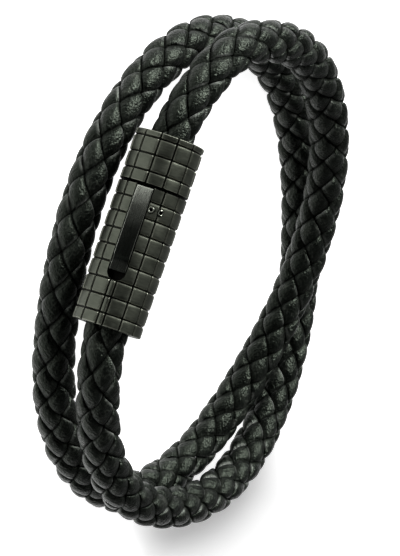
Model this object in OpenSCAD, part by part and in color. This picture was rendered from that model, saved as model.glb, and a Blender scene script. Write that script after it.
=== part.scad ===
// Leather wrap bracelet: a round cord braided from eight leather laces,
// laid twice round the wrist and closed by a metal tube clasp with a flat lever.
// Millimetres, +Z up. The bracelet lies on its side with its lowest turn on the
// table at z = 0 and the middle of its box at x = 0, y = 0.

/* [Cord] */
// Diameter over the braid
cord_d = 6.3; // [6:0.1:6.4]
// Thickness of one lace
lace_t = 0.5; // [0.4:0.05:0.55]
// Width of one lace
lace_w = 1.9; // [1.4:0.1:1.9]
// Half the space kept between two laces where they cross
weave_gap = 0.25; // [0.25:0.01:0.3]
// Times that each lace goes round the cord from end to end
lace_rounds = 19; // [16:1:20]
// Shift of the whole braid along the cord
braid_shift = 2.4; // [0:0.1:5]

/* [Clasp] */
// Length of the closed clasp
clasp_l = 26.8; // [26:0.2:30]
// Diameter of the clasp over its ribs
clasp_d = 9.7; // [9.5:0.1:11]
// Length of the cap, the short half of the clasp
cap_l = 7.1; // [6.8:0.1:8]
// Gap at the seam between cap and barrel
seam_gap = 0.2; // [0.1:0.05:0.4]
// Depth of the hole that takes each end of the cord
grip_depth = 5.3; // [4.5:0.1:5.4]
// Space round the cord in its holes
cord_space = 0.4; // [0.3:0.05:0.5]
// Space between the cut ends of the cord and the floors of its holes
end_space = 0.7; // [0.65:0.05:1]
// Diameter of the hidden post that joins the halves
post_d = 4.8; // [4:0.1:5]
// Depth of the post's seat in the cap
post_seat = 0.9; // [0.6:0.1:1]
// Length of the post inside the barrel
post_reach = 9; // [6:0.5:11]
// Space round the post
post_space = 0.1; // [0.05:0.01:0.15]
// Turn of the clasp to the side, seen from above, in degrees
clasp_turn = -3; // [-3.5:0.5:0]
// Dip of the clasp's barrel end, in degrees
clasp_dip = -1.5; // [-1.5:0.5:0]

/* [Grooves] */
// Columns of ribs round the clasp
rib_columns = 12; // [8:1:16]
// Distance from one ring groove to the next
ring_pitch = 2.27; // [2:0.01:3]
// Distance from the cap's end to its first ring groove
cap_first = 0.85; // [0.6:0.05:1.2]
// Distance from the seam to the barrel's first ring groove
barrel_first = 1.95; // [1.5:0.05:2.2]
// Width of a groove at its floor
groove_w = 0.26; // [0.2:0.02:0.4]
// Depth of a groove
groove_depth = 0.28; // [0.2:0.02:0.35]
// Width of the sloped shoulder on each side of a ring groove
shoulder = 0.24; // [0.1:0.02:0.3]

/* [Lever] */
// Height angle of the lever's middle line on the clasp, in degrees
lever_angle = 16.5; // [5:0.5:30]
// Length of the lever
lever_l = 11.9; // [10:0.1:13]
// Width of the lever
lever_w = 2.3; // [1.8:0.1:2.8]
// Thickness of the lever
lever_t = 1.4; // [1.2:0.05:1.5]
// Space beside and under the lever
lever_space = 0.15; // [0.1:0.01:0.25]
// Diameter of the lever's hinge pin
hinge_pin_d = 0.6; // [0.4:0.05:0.8]
// Running space between the hinge pin and the lever
hinge_space = 0.03; // [0.02:0.01:0.06]
// Depth of the hinge pin in the barrel on each side
hinge_hold = 0.4; // [0.3:0.05:0.45]
// Slope cut under the lever's tip for the fingernail
tip_slope = 0.5; // [0.2:0.1:0.8]

/* [Latch pins] */
// Diameter of the two small latch pins
latch_pin_d = 0.9; // [0.7:0.05:0.95]
// Length of a latch pin
latch_pin_l = 0.8; // [0.6:0.05:0.9]
// Space round the latch pins and at the ends of the hinge pin
pin_space = 0.06; // [0.04:0.01:0.08]
// How far a latch pin stands out of the barrel
latch_pin_out = 0.1; // [0:0.05:0.3]
// Diameter of the dimple in a latch pin's head
dimple_d = 0.4; // [0.2:0.05:0.5]
// Distance of the latch pins from the seam
latch_pin_place = 2.9; // [2.5:0.1:4]
// Space between the near latch pin and the side of the lever
latch_pin_clear = 0.13; // [0.1:0.01:0.3]
// Angle from the near latch pin to the far one, in degrees
latch_pin_apart = 17.5; // [17:0.5:40]

/* [Hidden] */

$fn = 64;
leather = [0.11, 0.11, 0.12];
metal = [0.34, 0.32, 0.29];
cut_over = 1;

// The clasp's own frame has X along its axis, the cap's end at -X, and its
// middle at clasp_at. An angle goes up from the side that faces -Y.
clasp_at = [-2, -30.3, 11.7];
clasp_r = clasp_d / 2;
cap_end = -clasp_l / 2;
cap_face = cap_end + cap_l;
barrel_face = cap_face + seam_gap;
barrel_end = clasp_l / 2;
cord_hole_r = cord_d / 2 + cord_space;

// Height of the cord's middle line where the cord lies on the table
low = cord_d / 2 + 0.1;

// Points that the cord's middle line rounds off, from the barrel to the cap:
// once round at mid height, down and round on the table, then up to the cap.
route_free = [
    [17, -30.8, 13], [26, -23.5, 11.5], [33.5, -11.5, 11], [34.5, 4.5, 10.6],
    [30, 20, 10.1], [19, 30.5, 8], [3, 34, 5.5], [-10.5, 29.8, 3.4],
    [-23.5, 20, low], [-32, 7, low], [-33.5, -7.5, low], [-30, -20.5, low],
    [-20, -29.9, low], [-7, -33.4, low], [7, -31.5, low], [20, -26.5, low],
    [30, -16.5, low], [34.5, -3, low], [33.5, 9.5, 3.5], [25, 20.5, 4],
    [12, 26, 5], [-2.5, 26.5, 7.5], [-17, 22, 9.5], [-27.5, 12.5, 11],
    [-34.2, 0, 11.7], [-33.8, -13, 12.6], [-30.5, -24, 12.5], [-21.5, -29, 12]
];

// Inside the clasp the cord runs straight on the clasp's axis.
cord_end = clasp_l / 2 - grip_depth + end_space;
straight_step = 5;
function on_axis(x) = clasp_at + x * [
    cos(clasp_dip) * cos(clasp_turn),
    cos(clasp_dip) * sin(clasp_turn),
    -sin(clasp_dip)
];
route = concat(
    [for (k = [-1:1]) on_axis(cord_end + k * straight_step)],
    route_free,
    [for (k = [1:-1:-1]) on_axis(-cord_end - k * straight_step)]
);

// The middle line is a cubic B-spline. route_at gives its point and route_dir
// its direction, where the whole part of p is a point of the list.
function weighted(w, i) =
    w[0] * route[i - 1] + w[1] * route[i] + w[2] * route[i + 1] + w[3] * route[i + 2];
function whole(p) = min(floor(p), len(route) - 3);
function route_at(p) = let (f = p - whole(p)) weighted([
    pow(1 - f, 3),
    3 * pow(f, 3) - 6 * f * f + 4,
    -3 * pow(f, 3) + 3 * f * f + 3 * f + 1,
    pow(f, 3)
] / 6, whole(p));
function route_dir(p) = let (f = p - whole(p)) unit(weighted([
    -pow(1 - f, 2),
    3 * f * f - 4 * f,
    -3 * f * f + 2 * f + 1,
    f * f
], whole(p)));
function unit(v) = v / norm(v);

// Table of the length along the middle line at fine steps of p
fine = 16;
samples = [for (k = [fine:(len(route) - 2) * fine]) route_at(k / fine)];
length_table = [
    for (k = 0, s = 0; k < len(samples);
         k = k + 1, s = s + (k < len(samples) ? norm(samples[k] - samples[k - 1]) : 0))
        [s, 1 + k / fine]
];
cord_length = length_table[len(length_table) - 1][0];

// Braid: four laces wind to the right and four to the left. Each goes over one
// and under one, so the right and the left ones take turns on top all round.
lace_wave = lace_t / 2 + weave_gap;
lace_ring = cord_d / 2 - lace_wave - lace_t / 2;
lace_lead = cord_length / lace_rounds;
laces_a_hand = 4;
crossing_turn = 180 / laces_a_hand;
period = 2;
wait = 0.36;
side_swing = 16;
start_turn = -22.5;
// One period of a lace, as crossing number and side: 1 is over, -1 is under
over_under = [[-wait, 1], [wait, 1], [1 - wait, -1], [1 + wait, -1], [2 - wait, 1]];

function side_at(c) = lookup((c + wait) - period * floor((c + wait) / period) - wait, over_under);
function along(c, i) = (c - 2 * i) * crossing_turn / 360 * lace_lead + braid_shift;
function crossing(s, i) = (s - braid_shift) / lace_lead * 360 / crossing_turn + 2 * i;

// Corners of a lace's section at crossing number c: flat inside, with a crest outside
function lace_corners(hand, i, c, s) =
    let (p = lookup(s, length_table), o = route_at(p), t = route_dir(p))
    let (up = unit([0, 0, 1] - t[2] * t), out = cross(t, up))
    let (turn = hand * crossing_turn * c + start_turn - side_swing * o[1] / 30)
    let (er = cos(turn) * up + sin(turn) * out, et = -sin(turn) * up + cos(turn) * out)
    let (side = side_at(c) * hand)
    let (run = unit(t + hand * 2 * PI * lace_ring / lace_lead * et), q = cross(er, run))
    let (m = o + (lace_ring + lace_wave * side) * er)
    [for (k = [[0, 1], [-1, -1], [1, -1]])
        m + k[0] * lace_w / 2 * q + k[1] * lace_t / 2 * er];

// Crossing numbers where a lace is given a section. It begins at its first stop
// in one hole of the clasp and ends at its last stop in the other hole.
function lace_stops(hand, i) =
    let (first = crossing(0, i), last = crossing(cord_length, i))
    [for (n = [floor(first / period) - 1:ceil(last / period) + 1])
        for (k = [0:len(over_under) - 2])
            let (c = period * n + over_under[k][0], s = along(c, i))
                if (s >= 0 && s <= cord_length) c];

// Three corners at each stop, joined to the next three by triangles, whose
// diagonals are the ones that leave the leather thickest.
module lace(hand, i) {
    stops = lace_stops(hand, i);
    n = len(stops);
    points = [for (c = stops) each lace_corners(hand, i, c, along(c, i))];
    sides = [for (r = [0:n - 2], k = [0:2])
        let (a = 3 * r + k, b = 3 * r + (k + 1) % 3) each
            hand > 0
                ? [[a, a + 3, b], [b, a + 3, b + 3]]
                : [[a, a + 3, b + 3], [a, b + 3, b]]];
    ends = [[0, 1, 2], [3 * n - 1, 3 * n - 2, 3 * n - 3]];
    color(leather) polyhedron(points, concat(sides, ends));
}

// Puts a piece that is drawn in the clasp's frame in its place
module on_clasp() {
    translate(clasp_at) rotate([0, clasp_dip, clasp_turn]) children();
}

// Turns a piece that is drawn on the -Y side up to an angle on the clasp
module at_angle(a) {
    rotate([-a, 0, 0]) children();
}

// A round bar along X from one place to another
module bar_x(from, to, r) {
    translate([from, 0, 0]) rotate([0, 90, 0]) cylinder(h = to - from, r = r);
}

// Outline of one half from its axis to its ribs, with a notch at each ring groove
module ribbed_outline(from, to, first, count) {
    half = groove_w / 2;
    ridge = clasp_r - groove_depth;
    notches = [for (k = [0:count - 1]) let (x = first + k * ring_pitch) each [
        [x - half - shoulder, clasp_r], [x - half, clasp_r - groove_depth / 2], [x - half, ridge],
        [x + half, ridge], [x + half, clasp_r - groove_depth / 2], [x + half + shoulder, clasp_r]
    ]];
    polygon(concat([[from, 0], [from, clasp_r]], notches, [[to, clasp_r], [to, 0]]));
}

// A turned half of the clasp along X
module ribbed_half(from, to, first, count) {
    rotate([90, 0, 90]) rotate_extrude() rotate([0, 0, 90]) mirror([0, 1, 0])
        ribbed_outline(from, to, first, count);
}

// A groove that runs the whole length at an angle
module long_groove(a, from, to) {
    at_angle(a) translate([from - cut_over, -clasp_r - cut_over, -groove_w / 2])
        cube([to - from + 2 * cut_over, groove_depth + cut_over, groove_w]);
}

cap_rings = 1 + floor((cap_l - cap_first - groove_w - shoulder) / ring_pitch);
module clasp_cap() {
    color(metal) on_clasp() difference() {
        ribbed_half(cap_end, cap_face, cap_end + cap_first, cap_rings);
        for (k = [0:rib_columns - 1])
            long_groove(lever_angle - 2.5 + k * 360 / rib_columns, cap_end, cap_face);
        bar_x(cap_end - cut_over, cap_end + grip_depth, cord_hole_r);
        bar_x(cap_face - post_seat, cap_face + cut_over, post_d / 2 + post_space);
    }
}

// The barrel's columns are set out from the lever, with a narrow one in line with it.
barrel_l = barrel_end - barrel_face;
barrel_rings = 1 + floor((barrel_l - barrel_first - groove_w - shoulder) / ring_pitch);
narrow_half = 5.5;
column_step = (180 - narrow_half) / (rib_columns / 2);
lever_top = clasp_r - 0.1;
hinge_h = lever_top - lever_t / 2;
hinge_x = barrel_face + lever_space + lever_t / 2;
lever_tip = barrel_face + lever_space + lever_l;
channel_w = lever_w + 2 * lever_space;
channel_floor = lever_top - lever_t - lever_space;

// Straight channel for the lever, with a round end for the fingernail
module lever_channel() {
    at_angle(lever_angle) rotate([90, 0, 0]) translate([0, 0, channel_floor]) {
        translate([barrel_face - cut_over, -channel_w / 2, 0])
            cube([lever_tip - barrel_face + cut_over, channel_w, clasp_r]);
        translate([lever_tip, 0, 0]) cylinder(h = clasp_r, d = channel_w);
    }
}

hinge_half = channel_w / 2 + hinge_hold;
module clasp_barrel() {
    color(metal) on_clasp() difference() {
        ribbed_half(barrel_face, barrel_end, barrel_face + barrel_first, barrel_rings);
        for (side = [-1, 1], k = [0:rib_columns / 2 - 1])
            long_groove(lever_angle + side * (narrow_half + k * column_step), barrel_face, barrel_end);
        long_groove(lever_angle + 180, barrel_face, barrel_end);
        lever_channel();
        bar_x(barrel_end - grip_depth, barrel_end + cut_over, cord_hole_r);
        bar_x(barrel_face - cut_over, cap_face + post_reach + post_space, post_d / 2 + post_space);
        at_angle(lever_angle) translate([hinge_x, -hinge_h, -hinge_half - pin_space])
            cylinder(h = 2 * (hinge_half + pin_space), d = hinge_pin_d + 2 * hinge_space);
        near_latch_place() latch_pin_hole();
        far_latch_place() latch_pin_hole();
    }
}

module clasp_post() {
    color(metal) on_clasp()
        bar_x(cap_face - post_seat + post_space, cap_face + post_reach, post_d / 2);
}

// Side view of the lever: a bar with a round hinge end and a sloped tip
module lever_outline() {
    reach = lever_tip - hinge_x;
    difference() {
        union() {
            circle(d = lever_t);
            translate([0, -lever_t / 2]) square([reach, lever_t]);
        }
        translate([reach - tip_slope, -lever_t / 2]) rotate(60)
            translate([0, -2 * lever_t]) square([3 * lever_t, 2 * lever_t]);
        circle(d = hinge_pin_d + 2 * hinge_space);
    }
}

module lever() {
    color(metal) on_clasp() at_angle(lever_angle)
        translate([hinge_x, -hinge_h, -lever_w / 2]) mirror([0, 1, 0])
            linear_extrude(lever_w) lever_outline();
}

module hinge_pin() {
    color(metal) on_clasp() at_angle(lever_angle)
        translate([hinge_x, -hinge_h, -hinge_half]) cylinder(h = 2 * hinge_half, d = hinge_pin_d);
}

// The near latch pin stands beside the lever and parallel to its sides. The far
// one points straight out from the clasp's axis.
latch_head = clasp_r + latch_pin_out;
near_offset = lever_w / 2 + latch_pin_clear + latch_pin_d / 2;
near_angle = asin(near_offset / latch_head);
latch_x = barrel_face + latch_pin_place;
module near_latch_place() {
    at_angle(lever_angle) rotate([90, 0, 0])
        translate([latch_x, near_offset, latch_head * cos(near_angle) - latch_pin_l]) children();
}

module far_latch_place() {
    at_angle(lever_angle + near_angle + latch_pin_apart) rotate([90, 0, 0])
        translate([latch_x, 0, latch_head - latch_pin_l]) children();
}

module latch_pin_hole() {
    translate([0, 0, -pin_space])
        cylinder(h = latch_pin_l + cut_over, d = latch_pin_d + 2 * pin_space);
}

module latch_pin() {
    difference() {
        cylinder(h = latch_pin_l, d = latch_pin_d);
        translate([0, 0, latch_pin_l - dimple_d]) cylinder(h = dimple_d + cut_over, d = dimple_d);
    }
}

module latch_pin_near() {
    color(metal) on_clasp() near_latch_place() latch_pin();
}

module latch_pin_far() {
    color(metal) on_clasp() far_latch_place() latch_pin();
}

clasp_cap();
clasp_barrel();
clasp_post();
lever();
hinge_pin();
latch_pin_near();
latch_pin_far();
lace(1, 0);  // lace_right_1
lace(1, 1);  // lace_right_2
lace(1, 2);  // lace_right_3
lace(1, 3);  // lace_right_4
lace(-1, 0);  // lace_left_1
lace(-1, 1);  // lace_left_2
lace(-1, 2);  // lace_left_3
lace(-1, 3);  // lace_left_4
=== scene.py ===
# A leather wrap bracelet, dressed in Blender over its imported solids.
# The file is a lesson in cells: a text cell says what comes next and why, and
# the code cell after it makes that piece and prints what it made.

# %% [markdown]
# The bracelet is a round cord braided from eight flat leather laces. It goes
# twice round the wrist and a ribbed metal tube clasp with a flat lever closes
# it. The solids come first, because every new piece has to sit where they are.

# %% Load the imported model
import math

import bmesh
import bpy
import numpy as np
from mathutils import Matrix, Vector


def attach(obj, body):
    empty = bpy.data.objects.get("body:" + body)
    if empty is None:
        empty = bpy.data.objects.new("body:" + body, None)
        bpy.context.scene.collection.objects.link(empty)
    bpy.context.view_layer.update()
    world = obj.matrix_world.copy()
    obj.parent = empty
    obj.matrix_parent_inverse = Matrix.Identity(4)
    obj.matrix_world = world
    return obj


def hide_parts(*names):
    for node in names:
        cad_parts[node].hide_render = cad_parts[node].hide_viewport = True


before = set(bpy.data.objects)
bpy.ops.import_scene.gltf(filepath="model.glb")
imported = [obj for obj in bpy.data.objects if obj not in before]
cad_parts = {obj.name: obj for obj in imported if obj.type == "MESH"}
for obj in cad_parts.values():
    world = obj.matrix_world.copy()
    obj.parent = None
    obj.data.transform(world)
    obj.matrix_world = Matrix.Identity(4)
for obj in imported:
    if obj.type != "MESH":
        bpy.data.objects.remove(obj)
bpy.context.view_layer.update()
print("nodes:", len(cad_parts))

# %% [markdown]
# A long lens far away keeps the two turns nearly parallel, as in the picture.
# The camera looks down at about 29 degrees and is rolled by a quarter turn and
# 19 degrees more, so that the ring stands on its edge in the frame. Its matrix
# is written from three directions, which is clearer here than three angles.

# %% Camera
rise = math.radians(29.13)
roll = math.radians(18.62)
look_at = Vector((0.00103, 0.00008, 0.0059))
camera_distance = 0.48
focal_length_px = 3367
picture_height_px = 556
sensor_height = 36

across_view = Vector((1, 0, 0))
into_view = Vector((0, 1, 0))
straight_up = Vector((0, 0, 1))
forward = into_view * math.cos(rise) - straight_up * math.sin(rise)
above = into_view * math.sin(rise) + straight_up * math.cos(rise)
frame_right = above * math.cos(roll) - across_view * math.sin(roll)
frame_down = above * math.sin(roll) + across_view * math.cos(roll)

camera_data = bpy.data.cameras.new("picture_camera")
camera = bpy.data.objects.new("picture_camera", camera_data)
bpy.context.collection.objects.link(camera)
camera_turn = Matrix((frame_right, -frame_down, -forward)).transposed().to_4x4()
camera.matrix_world = Matrix.Translation(look_at - forward * camera_distance) @ camera_turn
camera_data.sensor_fit = "VERTICAL"
camera_data.sensor_height = sensor_height
camera_data.lens = focal_length_px / picture_height_px * sensor_height
camera_data.clip_start = 0.01
camera_data.clip_end = 20
bpy.context.scene.camera = camera
print("lens, mm:", round(camera_data.lens, 1))

# %% [markdown]
# The cord's middle line is a cubic B-spline through few chosen points, the
# same ones that the solids follow. Lengths in this file's geometry are in
# millimetres until the last moment, when a mesh is scaled to metres.

# %% The cord's middle line
MM = 0.001
clasp_l, clasp_r, cap_l, seam_gap = 26.8, 4.85, 7.1, 0.2
grip_depth, end_space = 5.3, 0.7
clasp_middle = np.array([-2, -30.3, 11.7])
clasp_turn, clasp_dip = math.radians(-3), math.radians(-1.5)
clasp_line = np.array([
    math.cos(clasp_dip) * math.cos(clasp_turn),
    math.cos(clasp_dip) * math.sin(clasp_turn),
    -math.sin(clasp_dip),
])
cord_end = clasp_l / 2 - grip_depth + end_space
straight_step, fine_points = 5, 6000
low = 3.25
route_free = [
    [17, -30.8, 13], [26, -23.5, 11.5], [33.5, -11.5, 11], [34.5, 4.5, 10.6],
    [30, 20, 10.1], [19, 30.5, 8], [3, 34, 5.5], [-10.5, 29.8, 3.4],
    [-23.5, 20, low], [-32, 7, low], [-33.5, -7.5, low], [-30, -20.5, low],
    [-20, -29.9, low], [-7, -33.4, low], [7, -31.5, low], [20, -26.5, low],
    [30, -16.5, low], [34.5, -3, low], [33.5, 9.5, 3.5], [25, 20.5, 4],
    [12, 26, 5], [-2.5, 26.5, 7.5], [-17, 22, 9.5], [-27.5, 12.5, 11],
    [-34.2, 0, 11.7], [-33.8, -13, 12.6], [-30.5, -24, 12.5], [-21.5, -29, 12],
]
route = np.array(
    [clasp_middle + (cord_end + k * straight_step) * clasp_line for k in (-1, 0, 1)]
    + route_free
    + [clasp_middle - (cord_end + k * straight_step) * clasp_line for k in (1, 0, -1)]
)


def spline_at(p):
    """Points and directions of the middle line at an array of parameters."""
    i = np.minimum(np.floor(p).astype(int), len(route) - 3)
    f = (p - i)[:, None]
    a, b, c, d = route[i - 1], route[i], route[i + 1], route[i + 2]
    spot = ((1 - f) ** 3 * a + (3 * f**3 - 6 * f**2 + 4) * b
            + (-3 * f**3 + 3 * f**2 + 3 * f + 1) * c + f**3 * d) / 6
    way = -(1 - f) ** 2 * a + (3 * f**2 - 4 * f) * b + (-3 * f**2 + 2 * f + 1) * c + f**2 * d
    return spot, way / np.linalg.norm(way, axis=1)[:, None]


fine_spot, fine_way = spline_at(np.linspace(1, len(route) - 2, fine_points))
fine_s = np.concatenate([[0], np.cumsum(np.linalg.norm(np.diff(fine_spot, axis=0), axis=1))])
cord_length = fine_s[-1]
print("cord length, mm:", round(cord_length, 1))

# %% [markdown]
# Each place along the cord needs its own upward and outward direction, to say
# where on the cord's round a lace lies. Past its two ends the cord goes on
# straight, so that a slanted ring of points has somewhere to lie.

# %% Directions along the cord
def cord_frame(s):
    """Middle point, upward and outward directions of the cord at lengths s."""
    middle = np.stack([np.interp(s, fine_s, fine_spot[:, k]) for k in range(3)], axis=1)
    way = np.stack([np.interp(s, fine_s, fine_way[:, k]) for k in range(3)], axis=1)
    over = np.clip(s - cord_length, 0, None) + np.clip(s, None, 0)
    middle = middle + over[:, None] * way
    up = np.array([0, 0, 1]) - way[:, 2:] * way
    up = up / np.linalg.norm(up, axis=1)[:, None]
    return middle, up, np.cross(way, up)


print("cord's end in the barrel, mm:", np.round(cord_frame(np.array([0.0]))[0][0], 2).tolist())

# %% [markdown]
# In the braid four laces wind to the right and four to the left. Each passes
# over one and under one, so that what shows is a net of plump rounded petals.
# A lace could be a curve with a bevel, but its width and thickness change at
# every crossing. So each lace is a straight tube, spun from a circle by pure
# translation, and its rings of points are then laid along the cord. The rings
# lie parallel to the laces that cross it, which gives the petals their slant.
# Two measures say where the petals fall: braid_shift moves the weave along the
# cord, and side_swing turns it by that many degrees over swing_reach along Y.

# %% Braid measures
laces_a_hand, lace_rounds = 4, 19
braid_shift, side_swing, swing_reach = 2.4, 16, 30
lace_ring, lace_wave, wrap_r = 2.12, 0.48, 2.6
lead = cord_length / lace_rounds
crossing_step = lead / (2 * laces_a_hand)
crossing_turn = 180 / laces_a_hand
lay = math.atan(2 * math.pi * wrap_r / lead)
slant = (1 - math.tan(lay) ** 2) / (2 * math.tan(lay))
rings_a_crossing, ring_points = 5, 12
lace_steps = round(cord_length / crossing_step * rings_a_crossing)
print("lead, mm:", round(lead, 2), "lay, degrees:", round(math.degrees(lay), 1))

# %% [markdown]
# Three small helpers serve every piece: one spins a straight tube, one turns a
# finished bmesh into an object that rides on a body, and one stores a number
# at each point, which a material can read later.

# %% Mesh helpers
def spun_tube(segments, steps):
    """A straight closed tube along Z, one unit a step, from a capped circle."""
    bm = bmesh.new()
    bmesh.ops.create_circle(bm, cap_ends=True, segments=segments, radius=1)
    bmesh.ops.spin(bm, geom=bm.faces[:] + bm.edges[:] + bm.verts[:], cent=(0, 0, 0),
                   axis=(0, 0, 1), dvec=(0, 0, 1), angle=0, steps=steps)
    bmesh.ops.remove_doubles(bm, verts=bm.verts[:], dist=1e-4)
    bmesh.ops.recalc_face_normals(bm, faces=bm.faces[:])
    return bm


def mesh_object(bm, name, body="root"):
    """Turns a bmesh into a named smooth object that rides on a body."""
    mesh = bpy.data.meshes.new(name)
    bm.to_mesh(mesh)
    bm.free()
    obj = bpy.data.objects.new(name, mesh)
    bpy.context.collection.objects.link(obj)
    mesh.polygons.foreach_set("use_smooth", [True] * len(mesh.polygons))
    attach(obj, body)
    return obj


def point_values(mesh, name, values):
    """Stores one number a vertex under a name that a material can read."""
    layer = mesh.attributes.new(name, "FLOAT", "POINT")
    layer.data.foreach_set("value", np.ascontiguousarray(values, dtype=np.float32))


straight_lace = spun_tube(ring_points, lace_steps)
print("points in one straight lace:", len(straight_lace.verts))

# %% [markdown]
# A lace is highest and widest in the middle of a petal. It gets narrower and
# thinner where it dives, because its neighbours squeeze it there. No two
# petals of hand-cut leather are alike, so each has its own small error in
# width, height and turn, drawn from a seeded generator. Places along a lace
# are counted in crossings. A lace that winds to the right is up on the even
# ones and down on the odd ones, and for the other hand it is the other way.

# %% One lace
petal_squareness, plumpness = 1.5, 0.9
half_width, width_swell = 1.55, 0.13
thickness, thick_swell = 0.77, 0.26
width_error, height_error, turn_error = 0.04, 0.02, 0.02
first_seed, seed_gap = 40, 10
noise_places, noise_start = 180, -10


def petal_noise(rng, spread):
    """A random value along the lace that changes from one crossing to the next."""
    draws = rng.normal(0, spread, noise_places)
    return lambda c: np.interp(c, np.arange(noise_places) + noise_start, draws)


def fuller(wave):
    """A sine or cosine with a fuller course, for a plump cross-section."""
    return np.sign(wave) * np.abs(wave) ** plumpness


def braided_lace(name, hand, index):
    """One lace of the braid, laid along the whole cord."""
    first = 2 * index - braid_shift / crossing_step
    last = first + cord_length / crossing_step
    bm = straight_lace.copy()
    co = np.array([v.co[:] for v in bm.verts])
    turn = np.arctan2(co[:, 1], co[:, 0])
    c = first + (last - first) * co[:, 2] / lace_steps
    rng = np.random.default_rng(first_seed + index + seed_gap * (hand > 0))
    wider, higher, twist = (petal_noise(rng, k) for k in (width_error, height_error, turn_error))

    lift = hand * np.tanh(petal_squareness * np.cos(np.pi * c)) / np.tanh(petal_squareness)
    side = fuller(np.cos(turn))
    u = side * (half_width + width_swell * lift + wider(c))
    height = fuller(np.sin(turn)) * (thickness + thick_swell * lift) / 2
    radius = lace_ring + (lace_wave + higher(c)) * lift + height
    x = hand * slant * u
    s = ((c - 2 * index) * crossing_step + braid_shift
         + x * math.cos(lay) + hand * u * math.sin(lay))
    middle, up, out = cord_frame(s)
    wound = crossing_turn * (hand * c - 0.5) - side_swing * middle[:, 1] / swing_reach
    aside = (hand * x * math.sin(lay) - u * math.cos(lay)) / wrap_r
    angle = np.radians(wound) + aside + twist(c)
    spot = middle + radius[:, None] * (np.cos(angle)[:, None] * up + np.sin(angle)[:, None] * out)
    for vertex, place in zip(bm.verts, spot * MM):
        vertex.co = place
    bmesh.ops.recalc_face_normals(bm, faces=bm.faces[:])
    obj = mesh_object(bm, name)
    point_values(obj.data, "lace_along", c * crossing_step / math.cos(lay))
    point_values(obj.data, "lace_across", side)
    point_values(obj.data, "lace_lift", lift)
    finer = obj.modifiers.new("Soften", "SUBSURF")
    finer.levels = finer.render_levels = 1
    return obj


laces = []
for hand, hand_name in ((1, "right"), (-1, "left")):
    for index in range(laces_a_hand):
        node = f"lace_{hand_name}_{index + 1}"
        lace = braided_lace(f"leather_{node}", hand, index)
        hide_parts(node)
        laces.append(lace)
print("laces:", len(laces), "faces in one:", len(laces[0].data.polygons))

# %% [markdown]
# Both halves of the clasp are turned tubes with ring grooves and lengthwise
# grooves that leave rows of soft square ribs. Cutting every groove with its
# own solid would give hard slots. Here a spun tube gets more rings of points
# near each groove, and its points sink by the groove's rounded profile. A rib
# is highest in its middle, and each column of ribs is about a third of the way
# from round to flat.

# %% Grooved tubes
ring_pitch, groove_depth = 2.27, 0.28
groove_floor, groove_slope = 0.05, 0.18
crown_drop, crown_reach = 0.06, 0.9
groove_steps = (-0.5, -0.3, -0.2, -0.16, -0.12, -0.08, -0.04, 0,
                0.04, 0.08, 0.12, 0.16, 0.2, 0.3, 0.5)
end_steps = (0, 0.05, 0.12, 0.2)
end_round, flat_share = 0.2, 0.35
dark_end, dark_end_reach, dark_seam_reach = 0.8, 0.16, 0.13
longest_step, widest_step, closest_stops = 0.5, 6, 0.02


def groove_profile(distance):
    """Depth of a groove at a distance from its middle, with rounded shoulders."""
    t = np.clip((np.abs(distance) - groove_floor) / groove_slope, 0, 1)
    crown = crown_drop * np.clip(1 - np.abs(distance) / crown_reach, 0, 1) ** 2
    return (groove_depth - crown_drop) * (1 - t * t * (3 - 2 * t)) + crown


def spread(stops, step):
    """Sorted stops with more of them in any stretch that is longer than step."""
    stops = sorted(stops)
    out = []
    for a, b in zip(stops, stops[1:]):
        if b - a < closest_stops:
            continue
        n = max(1, math.ceil((b - a) / step))
        out += [a + (b - a) * k / n for k in range(n)]
    return out + [stops[-1]]


def flat_depth(angle, groove_angles):
    """How far a flat face from groove to groove lies inside the round."""
    stops = np.sort([k % 360 for k in groove_angles])
    before = np.searchsorted(stops, angle, side="right") - 1
    start = stops[before]
    width = (stops[(before + 1) % len(stops)] - start) % 360
    middle = np.radians((angle - start) % 360 - width / 2)
    return clasp_r * (1 - np.cos(np.radians(width / 2)) / np.cos(middle))


def ribbed_tube(x_from, x_to, seam_at, ring_places, groove_angles):
    """A closed ribbed tube in the clasp's own frame, with a shade share a point.

    Angles go up from -Y. The share is 1 in a groove and at the seam, for painted shade.
    """
    along = [x_from + k for k in end_steps] + [x_to - k for k in end_steps]
    for place in ring_places:
        along += [place + k for k in groove_steps]
    along = spread([k for k in along if x_from <= k <= x_to], longest_step)
    around = []
    for angle in groove_angles:
        around += [(angle + math.degrees(k / clasp_r)) % 360 for k in groove_steps]
    around = sorted(around)
    around = spread(around + [around[0] + 360], widest_step)[:-1]

    bm = spun_tube(len(around), len(along) - 1)
    co = np.array([v.co[:] for v in bm.verts])
    column = np.round(np.arctan2(co[:, 1], co[:, 0]) / (2 * np.pi) * len(around)).astype(int)
    x = np.array(along)[np.round(co[:, 2]).astype(int)]
    angle = np.array(around)[column % len(around)]
    ring_depth = np.max([groove_profile(x - k) for k in ring_places], axis=0)
    off = [(angle - k + 180) % 360 - 180 for k in groove_angles]
    long_depth = np.max([groove_profile(np.radians(k) * clasp_r) for k in off], axis=0)
    sink = np.minimum(np.hypot(ring_depth, long_depth), groove_depth)
    shade_share = sink / groove_depth
    sink = sink + flat_share * flat_depth(angle, groove_angles) * (1 - shade_share)
    end = np.minimum(x - x_from, x_to - x)
    sink = np.maximum(sink, end_round * np.clip(1 - end / end_round, 0, 1) ** 2)
    # Painted shade at the tube's ends and in the seam's gap
    shade_share = np.maximum(shade_share, dark_end * np.clip(1 - end / dark_end_reach, 0, 1))
    shade_share = np.where(np.abs(x - seam_at) < dark_seam_reach, 1, shade_share)

    radius, turn = clasp_r - sink, np.radians(angle)
    places = np.stack([x, -radius * np.cos(turn), radius * np.sin(turn)], axis=-1)
    for vertex, place in zip(bm.verts, places):
        vertex.co = place
    bmesh.ops.recalc_face_normals(bm, faces=bm.faces[:])
    return bm, shade_share


print("stops across one groove:", len(groove_steps))

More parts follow.
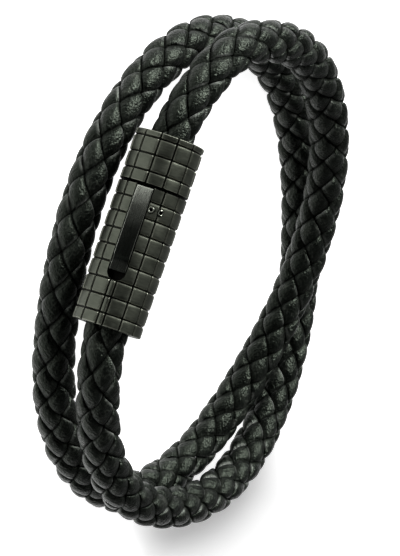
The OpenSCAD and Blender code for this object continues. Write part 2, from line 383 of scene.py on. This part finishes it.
# %% [markdown]
# The holes for the cord, the post and the pins are round, so a Boolean with a
# plain bar makes each of them cleanly. Its result is kept as the piece's own
# mesh. The clasp is drawn along X through its own middle, and a finished piece
# is moved to its place with one matrix.

# %% Holes and places
cord_hole_r, post_hole_r = 3.25, 2.5
past = 1
wall, end_face_reach = 0.4, 0.02
sharp_rib = math.radians(38)
clasp_matrix = (
    Matrix.Translation(Vector(clasp_middle))
    @ Matrix.Rotation(clasp_turn, 4, "Z")
    @ Matrix.Rotation(clasp_dip, 4, "Y")
)


def round_cutter(start, end, radius, segments=48):
    """A plain round bar between two points, which cuts a hole."""
    start, end = Vector(start), Vector(end)
    turn = (end - start).to_track_quat("Z", "Y").to_matrix().to_4x4()
    bm = bmesh.new()
    bmesh.ops.create_cone(
        bm, cap_ends=True, segments=segments, radius1=radius, radius2=radius,
        depth=(end - start).length, matrix=Matrix.Translation((start + end) / 2) @ turn,
    )
    return bm


def cut(obj, cutters):
    """Takes the cutters out of a piece with Booleans and keeps the result."""
    for k, bm in enumerate(cutters):
        mesh = bpy.data.meshes.new("cutter")
        bm.to_mesh(mesh)
        bm.free()
        tool = bpy.data.objects.new("cutter", mesh)
        bpy.context.collection.objects.link(tool)
        boolean = obj.modifiers.new(f"Cut {k}", "BOOLEAN")
        boolean.object = tool
        boolean.solver = "EXACT"
        deps = bpy.context.evaluated_depsgraph_get()
        result = bpy.data.meshes.new_from_object(obj.evaluated_get(deps))
        obj.modifiers.remove(boolean)
        old = obj.data
        obj.data = result
        bpy.data.meshes.remove(old)
        bpy.data.objects.remove(tool)
    obj.data.polygons.foreach_set("use_smooth", [True] * len(obj.data.polygons))
    obj.data.set_sharp_from_angle(angle=sharp_rib)


def mark_inside(obj, open_end):
    """Gives the walls of holes and channels the second material, painted shade."""
    for face in obj.data.polygons:
        x, y, z = face.center
        at_the_cord = abs(x - open_end) < end_face_reach
        face.material_index = int(math.hypot(y, z) < clasp_r - wall and not at_the_cord)


def on_clasp(obj, node):
    """Moves a finished piece's mesh from the clasp's frame to its place."""
    name = obj.name
    obj.data.transform(Matrix.Scale(MM, 4) @ clasp_matrix)
    obj.data.name = name
    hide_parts(node)


print("clasp middle, mm:", clasp_middle.tolist())

# %% [markdown]
# The cap is the short half. Three ring grooves cross twelve lengthwise ones, and
# the cord goes into a hole at its outer end. A shallow seat at the seam takes
# the hidden post.

# %% Clasp cap
lever_angle = 16.5
cap_first_ring, cap_ring_count = 0.85, 3
cap_column_shift, cap_column_count = 2.5, 12
post_seat = 0.9
cap_from = -clasp_l / 2
cap_to = cap_from + cap_l
cap_rings = [cap_from + cap_first_ring + k * ring_pitch for k in range(cap_ring_count)]
cap_columns = [lever_angle - cap_column_shift + k * 360 / cap_column_count
               for k in range(cap_column_count)]
bm, shade_share = ribbed_tube(cap_from, cap_to, cap_to, cap_rings, cap_columns)
cap = mesh_object(bm, "cap_ribbed")
point_values(cap.data, "groove", shade_share)
cord_hole = round_cutter((cap_from - past, 0, 0), (cap_from + grip_depth, 0, 0), cord_hole_r)
post_hole = round_cutter((cap_to - post_seat, 0, 0), (cap_to + past, 0, 0), post_hole_r)
cut(cap, [cord_hole, post_hole])
mark_inside(cap, cap_from)
on_clasp(cap, "clasp_cap")
print("cap faces:", len(cap.data.polygons))

# %% [markdown]
# The barrel is the long half, and a straight channel with a round end holds
# the lever. The channel's cutter starts as a circle at the lever's tip. Its
# points on the seam's side are pulled past the seam, and the flat outline that
# this leaves is extruded outwards.

# %% Lever channel
barrel_from = cap_to + seam_gap
barrel_to = clasp_l / 2
lever_l, lever_w, lever_t = 11.9, 2.3, 1.4
lever_space, lever_inset = 0.15, 0.1
channel_half = lever_w / 2 + lever_space
channel_floor = clasp_r - lever_inset - lever_t - lever_space
channel_height = 4
lever_tip = barrel_from + lever_space + lever_l
tiny = 1e-6
# A piece drawn with Z up from the clasp's axis is turned to face -Y
upright_to_front = Matrix.Rotation(math.radians(90), 4, "X")
face_out = Matrix.Rotation(math.radians(-lever_angle), 4, "X") @ upright_to_front


def grow(bm, face, way):
    """Extrudes a flat face into a solid."""
    grown = bmesh.ops.extrude_face_region(bm, geom=[face])
    moved = [g for g in grown["geom"] if isinstance(g, bmesh.types.BMVert)]
    bmesh.ops.translate(bm, vec=way, verts=moved)
    bmesh.ops.recalc_face_normals(bm, faces=bm.faces[:])


channel = bmesh.new()
bmesh.ops.create_circle(channel, cap_ends=True, segments=48, radius=channel_half,
                        matrix=Matrix.Translation((lever_tip, 0, channel_floor)))
for vertex in channel.verts:
    if vertex.co.x < lever_tip - tiny:
        vertex.co.x = barrel_from - past
grow(channel, channel.faces[:][0], (0, 0, channel_height))
bmesh.ops.transform(channel, matrix=face_out, verts=channel.verts[:])
print("channel width, mm:", round(2 * channel_half, 2))

# %% [markdown]
# The barrel's columns are set out from the lever, with a narrow one in line
# with it. Two small pins sit beside the lever, each in a round seat that is a
# little wider than the pin. The near one stands at the channel's edge, parallel
# to its walls, and the far one points straight out from the clasp's axis.

# %% Clasp barrel
barrel_first_ring, barrel_ring_count = 1.95, 8
narrow_half, columns_a_side = 5.5, 6
column_step = (180 - narrow_half) / columns_a_side
post_hole_depth = 9.1
latch_r, latch_along, latch_out, latch_aside, latch_apart = 0.45, 2.9, 0.1, 0.13, 17.5
seat_r, seat_depth, seat_segments = 0.51, 0.86, 32

barrel_rings = [barrel_from + barrel_first_ring + k * ring_pitch for k in range(barrel_ring_count)]
barrel_columns = [lever_angle + side * (narrow_half + k * column_step)
                  for side in (-1, 1) for k in range(columns_a_side)]
barrel_columns.append(lever_angle + 180)
bm, shade_share = ribbed_tube(barrel_from, barrel_to, barrel_from, barrel_rings, barrel_columns)
barrel = mesh_object(bm, "barrel_ribbed")
point_values(barrel.data, "groove", shade_share)

latch_x = barrel_from + latch_along
latch_head = clasp_r + latch_out
near_offset = lever_w / 2 + latch_aside + latch_r
near_angle = math.asin(near_offset / latch_head)
near_place = face_out @ Matrix.Translation((latch_x, near_offset, latch_head * math.cos(near_angle)))
far_turn = Matrix.Rotation(-math.radians(lever_angle + latch_apart) - near_angle, 4, "X")
far_place = far_turn @ upright_to_front @ Matrix.Translation((latch_x, 0, latch_head))
pin_seats = []
for place in (near_place, far_place):
    seat = round_cutter((0, 0, -seat_depth), (0, 0, past), seat_r, seat_segments)
    bmesh.ops.transform(seat, matrix=place, verts=seat.verts[:])
    pin_seats.append(seat)
cord_hole = round_cutter((barrel_to - grip_depth, 0, 0), (barrel_to + past, 0, 0), cord_hole_r)
post_hole = round_cutter((barrel_from - past, 0, 0), (cap_to + post_hole_depth, 0, 0), post_hole_r)
cut(barrel, [channel, cord_hole, post_hole] + pin_seats)
mark_inside(barrel, barrel_to)
on_clasp(barrel, "clasp_barrel")
print("barrel faces:", len(barrel.data.polygons))

# %% [markdown]
# The lever is a smooth flat bar. It is drawn from the side as one outline, with
# a round hinge end, a shallow step near the tip and a slope under it, then
# extruded to its width, and its edges get a small bevel that catches the light.
# Two numbers at each point say how far it is from the hinge end and from the
# middle line, so that its metal gets a painted highlight at the hinge and sides.

# %% Lever
lever_bevel = 0.12
sharp_lever = math.radians(12)
hinge_x = barrel_from + lever_space + lever_t / 2
hinge_h = clasp_r - lever_inset - lever_t / 2
reach = lever_tip - hinge_x
half_t = lever_t / 2
hinge_shoulder = [(-0.5, half_t - 0.09), (-0.62, half_t - 0.14), (-0.68, half_t - 0.24),
                  (-half_t, half_t - 0.4)]
hinge_round = [(-half_t * math.sin(math.radians(k)), half_t * math.cos(math.radians(k)))
               for k in range(90, 181, 15)]
tip = [(reach - 0.9, -half_t), (reach - 0.05, 0.05), (reach, 0.4), (reach - 0.05, 0.5),
       (reach - 0.25, 0.56), (reach - 1.1, 0.48), (reach - 1.75, 0.5), (reach - 2.2, half_t)]
top = [(2.6, half_t), (1.4, half_t - 0.01), (0.4, half_t - 0.04)]

bm = bmesh.new()
outline = hinge_shoulder + hinge_round + tip + top
corners = [bm.verts.new((x, -lever_w / 2, z)) for x, z in outline]
grow(bm, bm.faces.new(corners), (0, lever_w, 0))
rims = [e for e in bm.edges if abs(e.verts[0].co.y - e.verts[1].co.y) < tiny]
bmesh.ops.bevel(bm, geom=rims, offset=lever_bevel, offset_type="OFFSET", affect="EDGES",
                segments=3, profile=0.5, material=-1)
from_hinge = [(v.co.x + half_t) / (reach + half_t) for v in bm.verts]
to_side = [abs(v.co.y) / (lever_w / 2) for v in bm.verts]
bmesh.ops.translate(bm, vec=(hinge_x, 0, hinge_h), verts=bm.verts[:])
bmesh.ops.transform(bm, matrix=face_out, verts=bm.verts[:])
lever = mesh_object(bm, "lever_bar", "lever")
point_values(lever.data, "from_hinge", from_hinge)
point_values(lever.data, "to_side", to_side)
lever.data.set_sharp_from_angle(angle=sharp_lever)
on_clasp(lever, "lever")
print("lever faces:", len(lever.data.polygons))

# %% [markdown]
# Each latch pin ends in a small round eyelet, whose dimpled middle gets painted
# shade. One side of it is a few points, and a full spin turns them into the ring.

# %% Latch pins
dimple_r = 0.23
sharp_eyelet = math.radians(50)
eyelet_profile = [(0, -0.5), (0.16, -0.5), (0.2, -0.42), (0.22, -0.1), (0.27, -0.01),
                  (0.34, 0.02), (0.41, -0.01), (latch_r, -0.09), (latch_r, -0.8), (0, -0.8)]


def eyelet(name, node, place):
    """A latch pin with a dimple in its head, in its seat on the barrel."""
    bm = bmesh.new()
    points = [bm.verts.new((r, 0, z)) for r, z in eyelet_profile]
    edges = [bm.edges.new(pair) for pair in zip(points, points[1:])]
    bmesh.ops.spin(bm, geom=points + edges, cent=(0, 0, 0), axis=(0, 0, 1),
                   angle=math.tau, steps=32, use_merge=True)
    bmesh.ops.remove_doubles(bm, verts=bm.verts[:], dist=1e-4)
    bmesh.ops.recalc_face_normals(bm, faces=bm.faces[:])
    for face in bm.faces:
        # Dimple faces take the second material, painted shade
        face.material_index = int(face.calc_center_median().to_2d().length < dimple_r)
    bmesh.ops.transform(bm, matrix=place, verts=bm.verts[:])
    obj = mesh_object(bm, name)
    obj.data.set_sharp_from_angle(angle=sharp_eyelet)
    on_clasp(obj, node)
    return obj


latch_pins = [
    eyelet("latch_eyelet_near", "latch_pin_near", near_place),
    eyelet("latch_eyelet_far", "latch_pin_far", far_place),
]
print("latch pins:", len(latch_pins))

# %% [markdown]
# Materials are node trees. A few helpers that add a node, wire it and pass on
# its output keep each recipe short.

# %% Material helpers
def new_material(name):
    """A new material with its node tree and its shader."""
    material = bpy.data.materials.new(name)
    material.use_nodes = True
    tree = material.node_tree
    return material, tree, tree.nodes["Principled BSDF"]


def add(tree, kind, links=None, **values):
    """Adds a node, sets its properties and wires sockets from other nodes."""
    node = tree.nodes.new(kind)
    for key, value in values.items():
        setattr(node, key, value)
    for key, source in (links or {}).items():
        if isinstance(source, bpy.types.NodeSocket):
            tree.links.new(source, node.inputs[key])
        else:
            node.inputs[key].default_value = source
    return node


def stored(tree, name):
    """A number that the mesh holds at each point."""
    return add(tree, "ShaderNodeAttribute", attribute_name=name).outputs["Fac"]


def maths(tree, operation, a, b=0.0):
    """Two values put together by one operation."""
    return add(tree, "ShaderNodeMath", {0: a, 1: b}, operation=operation).outputs[0]


def times(tree, a, b):
    """The product of two values."""
    return maths(tree, "MULTIPLY", a, b)


def summed(tree, *parts):
    """The sum of several values, each times its own share."""
    total = times(tree, *parts[0])
    for value, share in parts[1:]:
        total = maths(tree, "ADD", total, times(tree, value, share))
    return total


def noise(tree, where, scale, **values):
    """A cloudy value between 0 and 1."""
    links = {"Vector": where, "Scale": scale, **values}
    return add(tree, "ShaderNodeTexNoise", links).outputs["Fac"]


def lace_place(tree, along, along_scale, across, across_scale):
    """A place on a lace, counted along it and across it, each with its own scale."""
    links = {"X": times(tree, along, along_scale), "Y": times(tree, across, across_scale)}
    return add(tree, "ShaderNodeCombineXYZ", links).outputs[0]


def ramp(tree, source, stops):
    """A colour ramp whose stops are (place, grey or colour)."""
    node = add(tree, "ShaderNodeValToRGB", {"Fac": source})
    band = node.color_ramp
    for k, (place, colour) in enumerate(stops):
        stop = band.elements[k] if k < 2 else band.elements.new(place)
        stop.position = place
        stop.color = (*([colour] * 3 if isinstance(colour, (int, float)) else colour), 1)
    return node.outputs["Color"]


def tinted(tree, colour, share, shade):
    """A colour that turns to a shade by a share."""
    mix = add(tree, "ShaderNodeMix", {"Factor": share}, data_type="RGBA")
    tree.links.new(colour, mix.inputs["A"])
    mix.inputs["B"].default_value = (*shade, 1)
    return mix.outputs["Result"]


print("helpers ready for", len(laces), "laces and", 3 + len(latch_pins), "metal pieces")

# %% [markdown]
# The leather is dyed black and finely grained. Its colour comes from cloudy
# patches and fine specks. Thin lighter lines show here and there along the cut
# edges of a lace, partly wear and partly a painted highlight, and painted shade
# darkens the leather where it dives under a neighbour.

# %% Leather colour
leather, tree, shader = new_material("black_braided_leather")
along = stored(tree, "lace_along")
across = stored(tree, "lace_across")
lift = stored(tree, "lace_lift")
place = add(tree, "ShaderNodeTexCoord").outputs["Object"]
specks = noise(tree, place, 3000.0, Detail=3.0, Roughness=0.7)
mottle = noise(tree, place, 420.0, Detail=5.0, Roughness=0.6)
tone = summed(tree, (mottle, 0.45), (specks, 0.55))
colour = ramp(tree, tone, [(0.36, (0.0006, 0.0008, 0.0007)), (0.53, (0.0036, 0.0045, 0.0038)),
                           (0.72, (0.045, 0.048, 0.041))])
# Lighter lines along the cut edges: partly wear, partly a painted highlight
cut_edge = maths(tree, "POWER", maths(tree, "ABSOLUTE", across), 11.0)
edge_line_patches = ramp(tree, noise(tree, lace_place(tree, along, 0.22, across, 0.6), 1.0),
            [(0.53, 0.0), (0.63, 1.0)])
edge_wear_and_highlight = times(tree, times(tree, cut_edge, edge_line_patches), 0.9)
colour = tinted(tree, colour, edge_wear_and_highlight, (0.2, 0.21, 0.195))
# Painted shade where a lace dives under its neighbours
dive_shade = ramp(tree, lift, [(0.04, 1.0), (0.7, 0.0)])
colour = tinted(tree, colour, dive_shade, (0.0005, 0.0006, 0.0005))
tree.links.new(colour, shader.inputs["Base Color"])
print("nodes for the colour:", len(tree.nodes))

# %% [markdown]
# The surface is satin on top of a petal and dull in the dives. Its relief adds
# wrinkles across the petals, where the leather is bent, a fine round grain,
# specks, and pleats along the lace that are deepest where it is squeezed.

# %% Leather surface
satin = maths(tree, "MAXIMUM", ramp(tree, mottle, [(0.25, 0.23), (0.8, 0.42)]),
              ramp(tree, lift, [(0.1, 0.95), (0.65, 0.0)]))
tree.links.new(satin, shader.inputs["Roughness"])
grain = add(tree, "ShaderNodeTexVoronoi", {"Vector": place, "Scale": 3400.0},
            feature="SMOOTH_F1").outputs["Distance"]
wrinkle = noise(tree, lace_place(tree, along, 2.4, across, 1.2), 1.0, Detail=4.0, Roughness=0.6)
pleats = noise(tree, lace_place(tree, along, 0.35, across, 4.5), 1.0, Detail=2.0)
pleats = times(tree, pleats, ramp(tree, lift, [(0.3, 1.0), (0.95, 0.15)]))
relief = summed(tree, (wrinkle, 0.34), (grain, 0.12), (specks, 0.1), (pleats, 0.3))
bump = add(tree, "ShaderNodeBump", {"Height": relief, "Strength": 0.7, "Distance": 0.001})
tree.links.new(bump.outputs["Normal"], shader.inputs["Normal"])
shader.inputs["Specular IOR Level"].default_value = 0.22
shader.inputs["Specular Tint"].default_value = (0.86, 1.0, 0.81, 1)
for lace in laces:
    lace.data.materials.append(leather)
print("nodes for all of the leather:", len(tree.nodes))

# %% [markdown]
# The clasp is blackened steel: dark, slightly warm and satin. Its colour and
# roughness vary a little, and a fine brushing runs round the halves and along
# the lever. The rims of the ribs are lighter, partly wear and partly a painted
# highlight, and painted shade makes the grooves nearly black. The lever is
# darker and smoother than the ribs. A painted highlight brightens its hinge
# end, a thin line along its sides and faintly its tip. The latch pins are
# lighter, and painted shade makes all that lies inside near black.

# %% Metal materials
round_the_clasp, along_the_lever, no_brushing = (9000, 900, 900), (500, 7000, 7000), (900, 900, 900)
# Rib rims lighter, partly wear and partly painted highlight; painted shade in groove bottoms
rib_rim_wear_and_highlight = [(0.12, 0.0), (0.28, 1.0), (0.7, 0.7), (0.85, 0.0)]
groove_bottom_shade = [(0.76, 0.0), (0.97, 1.0)]
rib_wear_and_painted_light = [([("groove", rib_rim_wear_and_highlight)], (0.19, 0.197, 0.165)),
            ([("groove", groove_bottom_shade)], (0.004, 0.0045, 0.0035))]
# Painted highlight on the lever: bright at the hinge end, faint at the tip, thin along the sides
painted_highlight_ends = [(0.0, 1.0), (0.1, 0.6), (0.25, 0.2), (0.5, 0.03), (0.86, 0.0), (0.9, 0.05)]
painted_highlight_sides = [(0.92, 0.0), (0.97, 0.8)]
lever_painted_highlights = [([("from_hinge", painted_highlight_ends), ("to_side", painted_highlight_sides)], (0.42, 0.44, 0.39))]


def blackened_steel(name, light, dark, rough, brush_scale, wear_and_painted_light=()):
    """Dark steel with patches and brushing, then marks of rubbing and of painted light and shade."""
    material, tree, shader = new_material(name)
    place = add(tree, "ShaderNodeTexCoord").outputs["Object"]
    brushed = add(tree, "ShaderNodeMapping", {"Vector": place, "Scale": brush_scale}).outputs[0]
    brush = noise(tree, brushed, 1.0, Detail=3.0)
    patch = noise(tree, place, 500.0, Detail=4.0)
    tone = summed(tree, (brush, 0.4), (patch, 0.6))
    colour = ramp(tree, tone, [(0.3, dark), (0.7, light)])
    for where, shade in wear_and_painted_light:
        shares = [ramp(tree, stored(tree, value), stops) for value, stops in where]
        share = shares[0]
        for other in shares[1:]:
            share = maths(tree, "MAXIMUM", share, other)
        colour = tinted(tree, colour, share, shade)
    tree.links.new(colour, shader.inputs["Base Color"])
    shine = ramp(tree, tone, [(0.3, rough - 0.06), (0.7, rough + 0.06)])
    tree.links.new(shine, shader.inputs["Roughness"])
    bump = add(tree, "ShaderNodeBump", {"Height": tone, "Strength": 0.12, "Distance": 0.0001})
    tree.links.new(bump.outputs["Normal"], shader.inputs["Normal"])
    shader.inputs["Metallic"].default_value = 1.0
    return material


ribbed_metal = blackened_steel("blackened_steel_ribs", (0.1, 0.107, 0.087), (0.05, 0.055, 0.044),
                               0.44, round_the_clasp, rib_wear_and_painted_light)
lever_metal = blackened_steel("blackened_steel_lever", (0.012, 0.014, 0.012), (0.007, 0.0085, 0.007),
                              0.26, along_the_lever, lever_painted_highlights)
pin_metal = blackened_steel("lighter_steel_eyelets", (0.2, 0.21, 0.18), (0.12, 0.13, 0.11),
                            0.3, no_brushing)
# Near-black painted shade for hole walls, the lever's channel and the eyelets' dimples
inside_shade_metal = blackened_steel("painted_shade_inside", (0.012, 0.012, 0.011), (0.006, 0.006, 0.0055),
                              0.5, no_brushing)
print("metals:", ribbed_metal.name, lever_metal.name, pin_metal.name, inside_shade_metal.name)

# %% [markdown]
# A piece keeps the mark of which faces are inside while it gets its two metals.
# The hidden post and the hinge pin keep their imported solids, and only their
# metal is changed.

# %% Dress the metal pieces
for piece, metal in ((cap, ribbed_metal), (barrel, ribbed_metal), (lever, lever_metal),
                     (latch_pins[0], pin_metal), (latch_pins[1], pin_metal)):
    inside = [face.material_index for face in piece.data.polygons]
    piece.data.materials.clear()
    piece.data.materials.append(metal)
    piece.data.materials.append(inside_shade_metal)
    piece.data.polygons.foreach_set("material_index", inside)
for node in ("clasp_post", "hinge_pin"):
    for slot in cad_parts[node].material_slots:
        slot.material = inside_shade_metal
print("faces inside the barrel:", sum(face.material_index for face in barrel.data.polygons))

# %% [markdown]
# The bracelet lies on a white table that is so bright that hardly any shadow
# shows, apart from a soft one past the bracelet on its +X and +Y side. So the
# floor glows by itself, except in a round window on that side, where its glow
# is weak. The standard view with a gamma a little under one gives deep blacks.

# %% White table
floor_half = 3
window_middle, window_r, window_edge_r = (0.072, 0.056, 0.0), 0.041, 0.058
weak_glow, full_glow = 0.22, 0.88
bpy.context.scene.view_settings.view_transform = "Standard"
bpy.context.scene.view_settings.gamma = 0.86
bm = bmesh.new()
bmesh.ops.create_grid(bm, x_segments=1, y_segments=1, size=floor_half)
floor_mesh = bpy.data.meshes.new("floor")
bm.to_mesh(floor_mesh)
bm.free()
floor = bpy.data.objects.new("floor", floor_mesh)
bpy.context.collection.objects.link(floor)
floor_paint, tree, shader = new_material("floor_paint")
shader.inputs["Base Color"].default_value = (0.92, 0.92, 0.92, 1)
shader.inputs["Roughness"].default_value = 0.9
place = add(tree, "ShaderNodeTexCoord").outputs["Object"]
far = add(tree, "ShaderNodeVectorMath", {0: place, 1: window_middle},
          operation="DISTANCE").outputs["Value"]
glow = add(tree, "ShaderNodeMapRange", {
    "Value": far, "From Min": window_r, "From Max": window_edge_r,
    "To Min": weak_glow, "To Max": full_glow}, interpolation_type="SMOOTHSTEP")
shader.inputs["Emission Color"].default_value = (1, 1, 1, 1)
tree.links.new(glow.outputs["Result"], shader.inputs["Emission Strength"])
floor.data.materials.append(floor_paint)
print("shadow window, mm across:", round(2 * window_edge_r / MM))

# %% [markdown]
# The room is white and soft, with a dark side low in front of the table, which
# the metal and the leather mirror as darker places. A world whose strength
# falls toward one direction does that without any walls.

# %% Room
room_light, dark_light = 0.36, 0.0
dark_from, dark_full, dark_height = (math.radians(k) for k in (80, 20, 22))
dark_side = Vector((0.0, -math.cos(dark_height), math.sin(dark_height)))
world = bpy.data.worlds.new("white_room")
bpy.context.scene.world = world
world.use_nodes = True
tree = world.node_tree
direction = add(tree, "ShaderNodeTexCoord").outputs["Generated"]
toward = add(tree, "ShaderNodeVectorMath", {0: direction, 1: dark_side},
             operation="DOT_PRODUCT").outputs["Value"]
light_level = add(tree, "ShaderNodeMapRange", {
    "Value": toward, "From Min": math.cos(dark_from), "From Max": math.cos(dark_full),
    "To Min": room_light, "To Max": dark_light}, interpolation_type="SMOOTHSTEP").outputs["Result"]
tree.nodes["Background"].inputs["Color"].default_value = (1, 1, 1, 1)
tree.links.new(light_level, tree.nodes["Background"].inputs["Strength"])
print("room:", world.name)

# %% [markdown]
# Two lamps are kept apart by light linking. A square key lamp on the cap's side
# gives the leather its glints and leaves the table alone, because its light on
# the table would brighten the bracelet from below. A spot in front lights only
# the table, and the bracelet takes some of its light away, which is the shadow.

# %% Lamps
key_place, key_aim, key_power, key_size = (-0.45, -0.05, 0.32), (0, 0, 0), 10.6, 0.3
spot_place, spot_aim, spot_power = (-0.1, -0.55, 0.26), (0.05, 0.05, 0), 41.0
spot_cone, spot_softness, spot_radius = math.radians(34), 1.0, 0.1


def aimed_lamp(name, kind, spot, target, power, **values):
    """A lamp at a spot that looks at a target."""
    data = bpy.data.lights.new(name, kind)
    data.energy = power
    for key, value in values.items():
        setattr(data, key, value)
    lamp = bpy.data.objects.new(name, data)
    bpy.context.collection.objects.link(lamp)
    back = (Vector(spot) - Vector(target)).normalized()
    turn = back.to_track_quat("Z", "Y").to_matrix().to_4x4()
    lamp.matrix_world = Matrix.Translation(Vector(spot)) @ turn
    return lamp


key_lamp = aimed_lamp("key_lamp", "AREA", key_place, key_aim, key_power,
                      shape="SQUARE", size=key_size)
not_floor = bpy.data.collections.new("not_lit_by_the_key_lamp")
not_floor.objects.link(floor)
not_floor.collection_objects[0].light_linking.link_state = "EXCLUDE"
key_lamp.light_linking.receiver_collection = not_floor
floor_lamp = aimed_lamp("floor_lamp", "SPOT", spot_place, spot_aim, spot_power,
                        spot_size=spot_cone, spot_blend=spot_softness, shadow_soft_size=spot_radius)
only_floor = bpy.data.collections.new("lit_by_the_floor_lamp")
only_floor.objects.link(floor)
floor_lamp.light_linking.receiver_collection = only_floor
